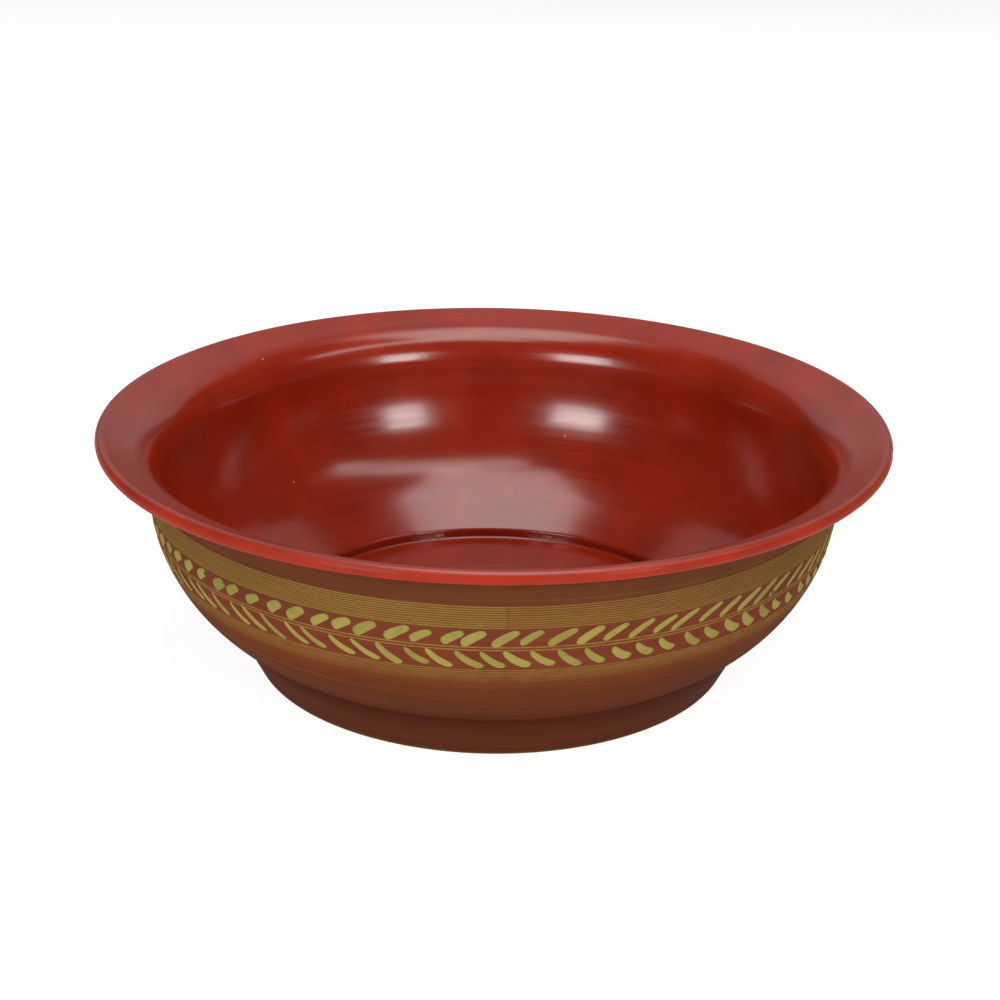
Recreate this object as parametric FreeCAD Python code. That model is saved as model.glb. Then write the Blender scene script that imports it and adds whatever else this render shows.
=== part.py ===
import FreeCAD
import Part

import math
import os

# Lacquered bowl wound from split-bamboo strips, with a set-in floor and a foot ring.
#
# Every strip is bent into a hoop whose two ends butt together. Hoops glued side by
# side make the wall, the foot ring and the floor disc. A skin of putty ground and
# lacquer covers each face. Millimetres, +Z up. The origin is the middle of the circle
# that the foot stands on.
#
# The wall is drawn as one path of straight and round stretches, up its finished outer
# face. "Depth" is a distance in from that face: 0 is the outer face and wall_thickness
# is the inner one. "Heading" is the path's direction, as an angle from the vertical.

# ---------------------------------------------------------------- overall sizes
rim_radius = 170.0            # outermost edge of the rounded lip
bowl_height = 108.6           # standing plane to the top of the lip
foot_height = 21.3            # standing plane to the crease where foot and wall meet

# ---------------------------------------------------------------- wall
wall_thickness = 5.4          # finished, both skins included; the lip is a full round
skin_thickness = 0.8          # ground and lacquer on any one face
lower_wall_angle = 56.0       # degrees from the vertical, at the crease
lower_wall_length = 1.2       # straight run from the crease up to the belly curve
upright_height = 3.6          # upright run between the belly curve and the flare
flare_width = 21.2            # how far the lip stands out beyond the belly
flare_radius = 14.0           # inside curve of the flare, on the outer face
flare_angle = 66.0            # degrees from the vertical, at the lip

# ---------------------------------------------------------------- floor and foot
floor_top = 10.0              # finished floor of the well, above the standing plane
floor_thickness = 5.0         # finished, both skins included
well_step = 4.5               # drop from the edge of the wall to the floor
foot_gain = 21.0              # foot edge beyond the wall's own line, carried down to z = 0
bare_edge = 0.6               # lacquer worn off the foot's standing edge
crease_fill = 5.2             # putty-filled corner between the foot's strips and the crease

# ---------------------------------------------------------------- strips
butt_gap = 0.2                # gap between the two ends of each bent strip
seam_step = 137.5             # degrees from one strip's butt joint to the next
lower_hoops = 4               # strips in the straight lower wall
belly_hoops = 12              # strips in the belly curve
upright_hoops = 1             # strips in the upright run
flare_hoops = 4               # strips in the flare's curve
brim_hoops = 2                # strips between the flare's curve and the rim strip
rim_strip_width = 5.0         # rounded outermost strip, measured down from the lip
lower_foot_hoops = 2          # strips below the floor's upper face
wrap_hoops = 2                # strips wound round the outside of the wall
floor_button_radius = 6.0     # round button at the middle of the floor
floor_hoops = 14              # strips round the button

FULL_TURN = 360.0
AXIS_POINT = FreeCAD.Vector(0, 0, 0)
AXIS_UP = FreeCAD.Vector(0, 0, 1)


def at(radius, height):
    """A point of the section plane, given as radius and height."""
    return FreeCAD.Vector(radius, 0, height)


def inward(heading):
    """Unit vector from the outer face to the inner one, square to the path."""
    return at(-math.cos(math.radians(heading)), math.sin(math.radians(heading)))


def along(heading):
    """Unit vector up the path."""
    return at(math.sin(math.radians(heading)), math.cos(math.radians(heading)))


class StraightRun:
    """A straight stretch of wall. Stations are distances from its start."""

    def __init__(self, start, heading, length):
        self.start = start
        self.heading = heading
        self.first = 0.0
        self.last = length

    def point(self, station, depth):
        return self.start + along(self.heading) * station + inward(self.heading) * depth

    def edge(self, low, high, depth):
        return Part.LineSegment(self.point(low, depth), self.point(high, depth)).toShape()


class RoundRun:
    """A round stretch of wall. Stations are headings, in degrees."""

    def __init__(self, centre, radius, side, first, last):
        self.centre = centre
        self.radius = radius
        self.side = side                  # -1: centre inside the bowl, +1: outside it
        self.first = first
        self.last = last

    def point(self, station, depth):
        reach = self.side * self.radius + depth
        return self.centre + inward(station) * reach

    def edge(self, low, high, depth):
        middle = (low + high) / 2
        arc = Part.Arc(self.point(low, depth), self.point(middle, depth), self.point(high, depth))
        return arc.toShape()


def line(start, end):
    return Part.LineSegment(start, end).toShape()


def closed_face(edges):
    return Part.Face(Part.Wire(edges))


def polygon_face(points):
    return Part.Face(Part.makePolygon(points + points[:1]))


def spun(face):
    """A full ring or disc from its section."""
    return face.revolve(AXIS_POINT, AXIS_UP, FULL_TURN)


def bent_strip(face, index):
    """A strip bent into a ring from its section, with a butt gap between its ends."""
    middle_radius = face.CenterOfMass.x
    gap_angle = math.degrees(butt_gap / middle_radius)
    strip = face.revolve(AXIS_POINT, AXIS_UP, FULL_TURN - gap_angle)
    strip.rotate(AXIS_POINT, AXIS_UP, seam_step * index)
    return strip


def stations(first, last, count):
    """Evenly spaced stations, both ends included."""
    return [first + (last - first) * step / count for step in range(count + 1)]


def crossing(point, heading, radius):
    """The point at a given radius on the line through a point."""
    run = (radius - point.x) / math.sin(math.radians(heading))
    return point + along(heading) * run


def level(point, heading, height):
    """The point at a given height on the line through a point."""
    run = (height - point.z) / math.cos(math.radians(heading))
    return point + along(heading) * run


# ---------------------------------------------------------------- worked out once
core_in = wall_thickness - skin_thickness       # depth of the strips' inner face
core_out = skin_thickness                       # depth of the strips' outer face
lip_radius = wall_thickness / 2
belly_radius = rim_radius - flare_width

flare_out = flare_radius * (1 - math.cos(math.radians(flare_angle)))
flare_up = flare_radius * math.sin(math.radians(flare_angle))
lip_offset = inward(flare_angle) * lip_radius
brim_length = (flare_width - lip_radius - flare_out - lip_offset.x) / along(flare_angle).x
brim_up = brim_length * along(flare_angle).z
flare_start = bowl_height - lip_radius - lip_offset.z - brim_up - flare_up

belly_top = flare_start - upright_height
belly_bottom = foot_height + lower_wall_length * along(lower_wall_angle).z
belly_curve = (belly_top - belly_bottom) / along(lower_wall_angle).x
belly_in = belly_curve * (1 - math.cos(math.radians(lower_wall_angle)))
crease_radius = belly_radius - belly_in - lower_wall_length * along(lower_wall_angle).x
crease = at(crease_radius, foot_height)

# The wall's inner face, carried down its straight run, gives the edge of the well.
well_edge_height = floor_top + well_step
inner_line = crease + inward(lower_wall_angle) * wall_thickness
well_edge = level(inner_line, lower_wall_angle, well_edge_height)
well_radius = well_edge.x

# The strips of the wall end square to it, one skin behind the side of the well.
core_line = crease + inward(lower_wall_angle) * core_in
wall_end_inner = crossing(core_line, lower_wall_angle, well_radius + skin_thickness)
wall_end_outer = wall_end_inner - inward(lower_wall_angle) * (core_in - core_out)
wall_start = (wall_end_inner - core_line).dot(along(lower_wall_angle))

# The foot's outer face is a cone from the standing edge to the crease.
foot_radius = level(crease, lower_wall_angle, 0).x + foot_gain
foot_slope = (crease_radius - foot_radius) / foot_height
foot_angle = math.degrees(math.atan(foot_slope))
skin_across = skin_thickness / math.cos(math.radians(foot_angle))
floor_core_top = floor_top - skin_thickness
floor_core_bottom = floor_top - floor_thickness + skin_thickness
floor_bottom = floor_top - floor_thickness
wrap_top = foot_height - crease_fill


def foot_face(height):
    """Radius of the foot's finished outer face."""
    return foot_radius + foot_slope * height


def foot_core(height):
    """Radius of the outer face of the foot's strips."""
    return foot_face(height) - skin_across


def bore(height):
    """Radius of the tapered bore that the floor is wedged into."""
    return well_radius - foot_slope * (floor_core_top - height)


def bore_skin(height):
    """Radius of the finished face of the bore."""
    return bore(height) - skin_across


def wall_runs():
    """The stretches of the wall, in order from the crease to the lip."""
    lower = StraightRun(crease, lower_wall_angle, lower_wall_length)
    belly_centre = at(belly_radius - belly_curve, belly_top)
    belly = RoundRun(belly_centre, belly_curve, -1, lower_wall_angle, 0.0)
    upright = StraightRun(at(belly_radius, belly_top), 0.0, upright_height)
    flare_centre = at(belly_radius + flare_radius, flare_start)
    flare = RoundRun(flare_centre, flare_radius, 1, 0.0, flare_angle)
    brim = StraightRun(flare.point(flare_angle, 0), flare_angle, brim_length)
    return lower, belly, upright, flare, brim


def strip_section(run, low, high):
    """Section of one strip of the wall between two stations."""
    return closed_face([
        run.edge(low, high, core_out),
        line(run.point(high, core_out), run.point(high, core_in)),
        run.edge(low, high, core_in),
        line(run.point(low, core_in), run.point(low, core_out)),
    ])


def wall_hoops():
    """The wall's strips, from the well to the brim."""
    lower, belly, upright, flare, brim = wall_runs()
    lower.first = wall_start
    brim.last = brim_length - rim_strip_width
    counted = [
        (lower, lower_hoops),
        (belly, belly_hoops),
        (upright, upright_hoops),
        (flare, flare_hoops),
        (brim, brim_hoops),
    ]
    nodes = {}
    for run, count in counted:
        marks = stations(run.first, run.last, count)
        for low, high in zip(marks, marks[1:]):
            index = len(nodes) + 1
            nodes[f"wall_hoop_{index:02d}"] = bent_strip(strip_section(run, low, high), index)
    return nodes


def rim_hoop():
    """The outermost strip, with its edge rounded to a half circle."""
    brim = wall_runs()[-1]
    low = brim_length - rim_strip_width
    tip = brim.point(brim_length + lip_radius - skin_thickness, lip_radius)
    nose = Part.Arc(brim.point(brim_length, core_out), tip, brim.point(brim_length, core_in))
    face = closed_face([
        brim.edge(low, brim_length, core_out),
        nose.toShape(),
        brim.edge(low, brim_length, core_in),
        line(brim.point(low, core_in), brim.point(low, core_out)),
    ])
    return bent_strip(face, 0)


def inner_lacquer():
    """Skin of the inside, from the floor joint up, over the lip and round its edge."""
    runs = wall_runs()
    lower, brim = runs[0], runs[-1]
    lower_start = (well_edge - inner_line).dot(along(lower_wall_angle))
    tip = brim.point(brim_length + lip_radius, lip_radius)
    core_tip = brim.point(brim_length + lip_radius - skin_thickness, lip_radius)
    nose = Part.Arc(brim.point(brim_length, wall_thickness), tip, brim.point(brim_length, 0))
    core_nose = Part.Arc(brim.point(brim_length, core_in), core_tip, brim.point(brim_length, core_out))
    foot_of_skin = at(well_radius, floor_core_top)
    foot_of_core = at(well_radius + skin_thickness, floor_core_top)

    finished = [line(foot_of_skin, well_edge)]
    finished.append(lower.edge(lower_start, lower.last, wall_thickness))
    finished += [run.edge(run.first, run.last, wall_thickness) for run in runs[1:]]
    covered = [line(foot_of_core, wall_end_inner)]
    covered.append(lower.edge(wall_start, lower.last, core_in))
    covered += [run.edge(run.first, run.last, core_in) for run in runs[1:]]
    closing = [
        nose.toShape(),
        line(brim.point(brim_length, 0), brim.point(brim_length, core_out)),
        core_nose.toShape(),
    ]
    return spun(closed_face(finished + closing + covered[::-1] + [line(foot_of_core, foot_of_skin)]))


def outer_lacquer():
    """Skin of the outside, from the crease up to the underside of the lip."""
    runs = wall_runs()
    finished = [run.edge(run.first, run.last, 0) for run in runs]
    covered = [run.edge(run.first, run.last, core_out) for run in runs]
    low_end = line(runs[0].point(0, core_out), crease)
    high_end = line(runs[-1].point(brim_length, 0), runs[-1].point(brim_length, core_out))
    return spun(closed_face(finished + [high_end] + covered[::-1] + [low_end]))


def foot_hoops():
    """The foot ring's strips, from the standing edge up."""
    sections = []
    marks = stations(0.0, floor_core_top, lower_foot_hoops)
    for low, high in zip(marks, marks[1:]):
        sections.append([at(bore(low), low), at(foot_core(low), low),
                         at(foot_core(high), high), at(bore(high), high)])

    # The shoulder strip fills the corner under the wall, and the wall's end rests on it.
    shoulder = wall_end_outer.z
    sections.append([at(well_radius + skin_thickness, floor_core_top),
                     at(foot_core(floor_core_top), floor_core_top),
                     at(foot_core(shoulder), shoulder), wall_end_outer, wall_end_inner])

    marks = stations(shoulder, wrap_top, wrap_hoops)
    for low, high in zip(marks, marks[1:]):
        sections.append([level(wall_end_outer, lower_wall_angle, low), at(foot_core(low), low),
                         at(foot_core(high), high), level(wall_end_outer, lower_wall_angle, high)])

    nodes = {}
    for index, points in enumerate(sections, start=1):
        nodes[f"foot_hoop_{index}"] = bent_strip(polygon_face(points), index)
    return nodes


def foot_lacquer():
    """Skin of the foot's outside; its ground also fills the corner above the strips."""
    skin_top = crease + inward(lower_wall_angle) * skin_thickness
    return spun(polygon_face([
        at(foot_face(bare_edge), bare_edge),
        crease,
        skin_top,
        level(wall_end_outer, lower_wall_angle, wrap_top),
        at(foot_core(wrap_top), wrap_top),
        at(foot_core(bare_edge), bare_edge),
    ]))


def foot_inner_lacquer():
    """Skin of the foot's bore, below the floor."""
    return spun(polygon_face([
        at(bore_skin(bare_edge), bare_edge),
        at(bore(bare_edge), bare_edge),
        at(bore(floor_core_bottom), floor_core_bottom),
        at(bore_skin(floor_core_bottom), floor_core_bottom),
    ]))


def floor_strips():
    """The floor disc: a button and the strips round it, the last one bevelled to the bore."""
    button = Part.makeCylinder(floor_button_radius, floor_core_top - floor_core_bottom,
                               at(0, floor_core_bottom))
    nodes = {"floor_button": button}
    marks = stations(floor_button_radius, bore(floor_core_top), floor_hoops)
    for index, (low, high) in enumerate(zip(marks, marks[1:]), start=1):
        last = index == floor_hoops
        high_below = bore(floor_core_bottom) if last else high
        face = polygon_face([at(low, floor_core_bottom), at(high_below, floor_core_bottom),
                             at(high, floor_core_top), at(low, floor_core_top)])
        nodes[f"floor_hoop_{index:02d}"] = bent_strip(face, index)
    return nodes


def floor_lacquer():
    """Skin of the well's floor, from wall to wall."""
    return Part.makeCylinder(well_radius, skin_thickness, at(0, floor_core_top))


def base_lacquer():
    """Skin of the underside of the floor, inside the foot."""
    return spun(polygon_face([
        at(0, floor_bottom),
        at(bore_skin(floor_bottom), floor_bottom),
        at(bore_skin(floor_core_bottom), floor_core_bottom),
        at(0, floor_core_bottom),
    ]))


def all_nodes():
    """Every piece of the bowl, by name."""
    nodes = {}
    nodes.update(wall_hoops())
    nodes["rim_hoop"] = rim_hoop()
    nodes.update(foot_hoops())
    nodes.update(floor_strips())
    nodes["inner_lacquer"] = inner_lacquer()
    nodes["outer_lacquer"] = outer_lacquer()
    nodes["floor_lacquer"] = floor_lacquer()
    nodes["base_lacquer"] = base_lacquer()
    nodes["foot_lacquer"] = foot_lacquer()
    nodes["foot_inner_lacquer"] = foot_inner_lacquer()
    return nodes


os.makedirs("parts", exist_ok=True)
for name, shape in all_nodes().items():
    shape.exportStep(f"parts/{name}.step")
    print(name, "valid" if shape.isValid() else "NOT VALID", round(shape.Volume, 1))
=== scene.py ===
"""Looks of a lacquered bowl wound from split-bamboo strips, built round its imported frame.

The strips stay as they are in the frame and get a bamboo finish. The lacquer skins are built
again here with rounded edges, ring ridges and worn places, and the painted band of ochre lines
and leaf strokes is laid on the outer one. Everything is in metres, with +Z up and the origin at
the middle of the standing circle. "Turn" is an angle round the bowl from the front, growing
towards +X. "Station" is a distance up the outer face from the top of the belly curve.
"""
import logging
import math
from collections.abc import Sequence
from dataclasses import dataclass, fields, replace
from enum import Enum

import bmesh
import bpy
from mathutils import Matrix, Quaternion, Vector


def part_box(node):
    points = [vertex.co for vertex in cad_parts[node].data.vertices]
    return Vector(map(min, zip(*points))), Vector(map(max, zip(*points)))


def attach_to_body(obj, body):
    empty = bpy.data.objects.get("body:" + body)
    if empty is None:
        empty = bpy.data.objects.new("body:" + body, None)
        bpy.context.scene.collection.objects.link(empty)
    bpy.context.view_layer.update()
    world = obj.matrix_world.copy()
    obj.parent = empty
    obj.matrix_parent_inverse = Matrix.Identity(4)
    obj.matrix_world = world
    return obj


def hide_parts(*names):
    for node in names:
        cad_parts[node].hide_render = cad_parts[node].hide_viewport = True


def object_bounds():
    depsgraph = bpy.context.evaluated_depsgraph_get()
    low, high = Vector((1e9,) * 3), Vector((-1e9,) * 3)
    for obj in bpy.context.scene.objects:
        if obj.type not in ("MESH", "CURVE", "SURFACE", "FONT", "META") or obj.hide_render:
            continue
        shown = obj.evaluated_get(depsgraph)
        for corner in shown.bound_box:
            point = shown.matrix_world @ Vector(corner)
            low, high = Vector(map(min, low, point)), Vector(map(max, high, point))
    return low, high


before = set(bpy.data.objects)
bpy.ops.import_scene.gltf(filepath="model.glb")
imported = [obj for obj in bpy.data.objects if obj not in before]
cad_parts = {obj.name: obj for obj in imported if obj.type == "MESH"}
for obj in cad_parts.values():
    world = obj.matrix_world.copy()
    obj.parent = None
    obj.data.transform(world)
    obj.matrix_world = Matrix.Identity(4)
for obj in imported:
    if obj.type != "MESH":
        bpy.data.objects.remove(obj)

LOG = logging.getLogger("lacquered_bowl")
CAD_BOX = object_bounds()

MM = 0.001
FULL_TURN = 2 * math.pi
BODY = "root"
WHITE = (1.0, 1.0, 1.0, 1.0)
NOISE_SPAN = (0.3, 0.7)  # where nearly all values of a noise lie

MATH = "ShaderNodeMath"
VECTOR_MATH = "ShaderNodeVectorMath"
SEPARATE = "ShaderNodeSeparateXYZ"
COMBINE = "ShaderNodeCombineXYZ"
NOISE = "ShaderNodeTexNoise"
VORONOI = "ShaderNodeTexVoronoi"
MAP_RANGE = "ShaderNodeMapRange"
MIX = "ShaderNodeMix"
NAMED_ATTRIBUTE = "GeometryNodeInputNamedAttribute"
STORE_ATTRIBUTE = "GeometryNodeStoreNamedAttribute"
RANDOM_VALUE = "FunctionNodeRandomValue"

Value = float | int | str | tuple | bpy.types.Node | bpy.types.NodeSocket | bpy.types.Material | None


class Slot(Enum):
    """Names of the material slots."""

    BAMBOO = "bamboo_strip"
    RED = "red_lacquer"
    PAINTED = "painted_lacquer"
    FOOT = "foot_lacquer"
    DARK = "dark_lacquer"


# ---------------------------------------------------------------- nodes and meshes
def linear(hex_colour: str) -> tuple[float, float, float, float]:
    """Turn an sRGB hex colour into linear RGBA.

    Args:
        hex_colour: A colour such as "#7d1f14".

    Returns:
        Red, green, blue and an alpha of one.
    """
    shares = [int(hex_colour[at:at + 2], 16) / 255 for at in (1, 3, 5)]
    red, green, blue = (c / 12.92 if c <= 0.04045 else ((c + 0.055) / 1.055) ** 2.4 for c in shares)
    return red, green, blue, 1.0


def output(node: bpy.types.Node) -> bpy.types.NodeSocket:
    """The first output that a node has in use."""
    return next(socket for socket in node.outputs if socket.enabled)


def add(tree: bpy.types.NodeTree, kind: str, *values: Value, named: dict[str, Value] | None = None,
        **settings: object) -> bpy.types.Node:
    """Add one node with its settings and links.

    Args:
        tree: The tree that gets the node.
        kind: Blender's name for the type of node.
        *values: What the inputs in use get, in order: a plain value, a socket, or a node, which
            stands for its first output. None leaves an input as it is.
        named: The same, for inputs given by name.
        **settings: Properties of the node itself.

    Returns:
        The new node.
    """
    node = tree.nodes.new(kind)
    for name, setting in settings.items():
        setattr(node, name, setting)
    sockets = [socket for socket in node.inputs if socket.enabled]
    pairs = list(zip(sockets, values))
    for name, value in (named or {}).items():
        pairs.append((next(socket for socket in sockets if socket.name == name), value))
    for socket, value in pairs:
        source = output(value) if isinstance(value, bpy.types.Node) else value
        if isinstance(source, bpy.types.NodeSocket):
            tree.links.new(source, socket)
        elif source is not None:
            socket.default_value = source
    return node


def new_tree(name: str, inputs: dict[str, float | int]) -> tuple[bpy.types.NodeTree, bpy.types.Node]:
    """Start a Geometry Nodes tree with named inputs.

    Args:
        name: Name of the tree.
        inputs: Default value of each input, by name; a whole number makes a whole-number input.

    Returns:
        The tree and its group input node.
    """
    tree = bpy.data.node_groups.new(name, "GeometryNodeTree")
    tree.interface.new_socket("Geometry", in_out="INPUT", socket_type="NodeSocketGeometry")
    for label, value in inputs.items():
        kind = "NodeSocketInt" if isinstance(value, int) else "NodeSocketFloat"
        socket = tree.interface.new_socket(label, in_out="INPUT", socket_type=kind)
        socket.default_value = value
    tree.interface.new_socket("Geometry", in_out="OUTPUT", socket_type="NodeSocketGeometry")
    return tree, add(tree, "NodeGroupInput")


def close_tree(tree: bpy.types.NodeTree, geometry: Value, material: bpy.types.Material) -> None:
    """End a tree with real, smooth, dressed faces.

    Args:
        tree: The tree to end.
        geometry: The geometry that it has made.
        material: The finish that all of it gets.
    """
    real = add(tree, "GeometryNodeRealizeInstances", geometry)
    smooth = add(tree, "GeometryNodeSetShadeSmooth", real)
    dressed = add(tree, "GeometryNodeSetMaterial", smooth, named={"Material": material})
    add(tree, "NodeGroupOutput", dressed)


def baked(name: str, tree: bpy.types.NodeTree, values: dict[str, float | int],
          base: bpy.types.Mesh | None = None) -> bpy.types.Object:
    """Run a Geometry Nodes tree and keep the result as a plain mesh object.

    Args:
        name: Name of the piece.
        tree: The tree to run.
        values: Its inputs, by name.
        base: The mesh that it works on, where it needs one.

    Returns:
        The piece, at the origin, with no modifier.
    """
    source = base or bpy.data.meshes.new(f"{name}_base")
    holder = bpy.data.objects.new(f"{name}_holder", source)
    bpy.context.scene.collection.objects.link(holder)
    modifier = holder.modifiers.new("build", "NODES")
    modifier.node_group = tree
    sockets = [item for item in tree.interface.items_tree if item.item_type == "SOCKET"]
    identifiers = {item.name: item.identifier for item in sockets if item.in_out == "INPUT"}
    for label, value in values.items():
        modifier[identifiers[label]] = value
    graph = bpy.context.evaluated_depsgraph_get()
    mesh = bpy.data.meshes.new_from_object(holder.evaluated_get(graph), preserve_all_data_layers=True,
                                           depsgraph=graph)
    bpy.data.objects.remove(holder)
    bpy.data.meshes.remove(source)
    mesh.name = name
    return placed(name, mesh)


def placed(name: str, mesh: bpy.types.Mesh) -> bpy.types.Object:
    """Put a mesh in the scene as an object at the origin, with its faces pointing outwards.

    Args:
        name: Name of the object.
        mesh: A closed mesh.

    Returns:
        The object.
    """
    work = bmesh.new()
    work.from_mesh(mesh)
    if work.calc_volume(signed=True) < 0:
        bmesh.ops.reverse_faces(work, faces=work.faces)
    work.to_mesh(mesh)
    work.free()
    piece = bpy.data.objects.new(name, mesh)
    bpy.context.scene.collection.objects.link(piece)
    return piece


def attach(piece: bpy.types.Object, slot: Slot, *nodes: str) -> bpy.types.Object:
    """Let a piece ride on the bowl and stand for CAD nodes.

    Args:
        piece: The finished piece.
        slot: Not used.
        *nodes: The CAD nodes that it replaces.

    Returns:
        The same piece.
    """
    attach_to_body(piece, BODY)
    if nodes:
        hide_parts(*nodes)
    LOG.info("%s: %d faces, stands for %s", piece.name, len(piece.data.polygons), nodes or "paint")
    return piece


# ---------------------------------------------------------------- the wall's path
def inward(heading: float) -> Vector:
    """Unit vector (radius, height) from the outer face to the inner one."""
    return Vector((-math.cos(heading), math.sin(heading)))


def along(heading: float) -> Vector:
    """Unit vector (radius, height) up the wall."""
    return Vector((math.sin(heading), math.cos(heading)))


def straight(start: Vector, end: Vector, step: float) -> list[Vector]:
    """Points on a straight stretch, no more than a step apart.

    Args:
        start: First point, as radius and height.
        end: Last point.
        step: Longest distance between two points.

    Returns:
        The points, both ends included.
    """
    count = max(1, math.ceil((end - start).length / step))
    return [start.lerp(end, index / count) for index in range(count + 1)]


def arc(centre: Vector, reach: float, first: float, last: float, step: float) -> list[Vector]:
    """Points on a round stretch, no more than a step apart.

    Args:
        centre: Centre, as radius and height.
        reach: Distance from the centre along the inward direction; negative reaches outwards.
        first: Heading at the start, in radians.
        last: Heading at the end.
        step: Longest distance between two points.

    Returns:
        The points, both ends included.
    """
    count = max(3, math.ceil(abs(reach * (last - first)) / step))
    turns = [first + (last - first) * index / count for index in range(count + 1)]
    return [centre + inward(turn) * reach for turn in turns]


def chained(*stretches: list[Vector]) -> list[Vector]:
    """Join stretches end to end, with each shared point kept once.

    Args:
        *stretches: Lists of points, in order.

    Returns:
        One list of points.
    """
    same_place = 1e-7
    points: list[Vector] = []
    for point in (p for stretch in stretches for p in stretch):
        if not points or (point - points[-1]).length > same_place:
            points.append(point)
    return points


@dataclass(frozen=True)
class WallForm:
    """The wall's outer face as a path from the crease to the lip.

    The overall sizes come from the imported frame; the others are the wall's own.
    """

    rim_radius: float
    bowl_height: float
    crease_height: float
    well_radius: float
    floor_top: float
    wall_thickness: float = 5.4 * MM
    skin: float = 0.8 * MM
    lower_heading: float = math.radians(56.0)
    lower_length: float = 1.2 * MM
    upright: float = 3.6 * MM
    flare_width: float = 21.2 * MM
    flare_radius: float = 14.0 * MM
    flare_heading: float = math.radians(66.0)

    @classmethod
    def from_frame(cls) -> "WallForm":
        """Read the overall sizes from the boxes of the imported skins."""
        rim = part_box("inner_lacquer")[1]
        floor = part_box("floor_lacquer")[1]
        return cls(rim.x, rim.z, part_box("outer_lacquer")[0].z, floor.x, floor.z)

    @property
    def lip_radius(self) -> float:
        """Radius of the full-round lip."""
        return self.wall_thickness / 2

    @property
    def belly_radius(self) -> float:
        """Radius of the belly at its widest."""
        return self.rim_radius - self.flare_width

    @property
    def brim_length(self) -> float:
        """Length of the straight brim."""
        flare_out = self.flare_radius * (1 - math.cos(self.flare_heading))
        lip_in = inward(self.flare_heading).x * self.lip_radius
        return (self.flare_width - self.lip_radius - flare_out - lip_in) / along(self.flare_heading).x

    @property
    def flare_centre(self) -> Vector:
        """Centre of the flare's curve."""
        heading = self.flare_heading
        brim_up = self.brim_length * along(heading).y
        lip_up = self.lip_radius * (1 + inward(heading).y)
        height = self.bowl_height - lip_up - brim_up - self.flare_radius * math.sin(heading)
        return Vector((self.belly_radius + self.flare_radius, height))

    @property
    def belly_top(self) -> float:
        """Height where the belly curve ends and the upright run starts."""
        return self.flare_centre.y - self.upright

    @property
    def belly_curve(self) -> float:
        """Radius of the belly curve, on the outer face."""
        bottom = self.crease_height + self.lower_length * along(self.lower_heading).y
        return (self.belly_top - bottom) / along(self.lower_heading).x

    @property
    def belly_centre(self) -> Vector:
        """Centre of the belly curve."""
        return Vector((self.belly_radius - self.belly_curve, self.belly_top))

    @property
    def crease(self) -> Vector:
        """Where the wall and the foot meet on the outside."""
        belly_low = self.belly_centre - inward(self.lower_heading) * self.belly_curve
        return belly_low - along(self.lower_heading) * self.lower_length

    def face(self, depth: float, step: float) -> list[Vector]:
        """Points up the wall at one depth, from the crease to the end of the brim.

        Args:
            depth: Distance in from the outer face.
            step: Longest distance between two points.

        Returns:
            The points, as radius and height.
        """
        low = self.lower_heading
        high = self.flare_heading
        foot = self.crease + inward(low) * depth
        brim = self.flare_centre + inward(high) * (self.flare_radius + depth)
        return chained(
            straight(foot, foot + along(low) * self.lower_length, step),
            arc(self.belly_centre, depth - self.belly_curve, low, 0.0, step),
            arc(self.flare_centre, self.flare_radius + depth, 0.0, high, step),
            straight(brim, brim + along(high) * self.brim_length, step),
        )

    def lip(self, depth: float, step: float) -> list[Vector]:
        """Points round the lip, from the inner face to the outer one.

        Args:
            depth: Distance in from the finished face.
            step: Longest distance between two points.

        Returns:
            The points, as radius and height.
        """
        heading = self.flare_heading
        end = self.flare_centre + inward(heading) * (self.flare_radius + self.lip_radius)
        centre = end + along(heading) * self.brim_length
        reach = self.lip_radius - depth
        return arc(centre, reach, heading, heading + math.pi, step)

    def outside_at(self, height: float) -> Vector:
        """The outer face at a height on the belly or the upright run.

        Args:
            height: Height above the standing plane.

        Returns:
            The point, as radius and height.
        """
        drop = max(0.0, self.belly_top - height)
        bulge = math.sqrt(self.belly_curve ** 2 - drop ** 2) - self.belly_curve
        return Vector((self.belly_radius + bulge, height))


# ---------------------------------------------------------------- patterns shared by finishes
@dataclass(frozen=True)
class Spot:
    """One small worn or marked place on the bowl."""

    turn: float
    radius: float
    height: float
    size: float

    @property
    def centre(self) -> tuple[float, float, float]:
        """Its place in the bowl's frame."""
        angle = math.radians(self.turn)
        return self.radius * math.sin(angle), -self.radius * math.cos(angle), self.height


def streaks(tree: bpy.types.NodeTree, run: float, across: float, detail: float = 3.0) -> bpy.types.Node:
    """Noise that changes slowly round the bowl and fast up its wall.

    Args:
        tree: The material's tree.
        run: Length of a streak round the bowl, in metres.
        across: Its width up the wall, in metres.
        detail: Octaves of finer pattern.

    Returns:
        A noise node.
    """
    place = add(tree, "ShaderNodeTexCoord").outputs["Object"]
    x, y, z = add(tree, SEPARATE, place).outputs
    radius = add(tree, VECTOR_MATH, add(tree, COMBINE, x, y), operation="LENGTH")
    climb = add(tree, MATH, radius, z, operation="ADD")
    scaled = [add(tree, MATH, value, 1 / size, operation="MULTIPLY")
              for value, size in ((x, run), (y, run), (climb, across))]
    return add(tree, NOISE, add(tree, COMBINE, *scaled), named={"Scale": 1.0, "Detail": detail})


def cloud(tree: bpy.types.NodeTree, size: float, detail: float = 3.0) -> bpy.types.Node:
    """Even mottling on object coordinates.

    Args:
        tree: The material's tree.
        size: Width of a patch, in metres.
        detail: Octaves of finer pattern.

    Returns:
        A noise node.
    """
    place = add(tree, "ShaderNodeTexCoord").outputs["Object"]
    return add(tree, NOISE, place, named={"Scale": 1 / size, "Detail": detail})


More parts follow.
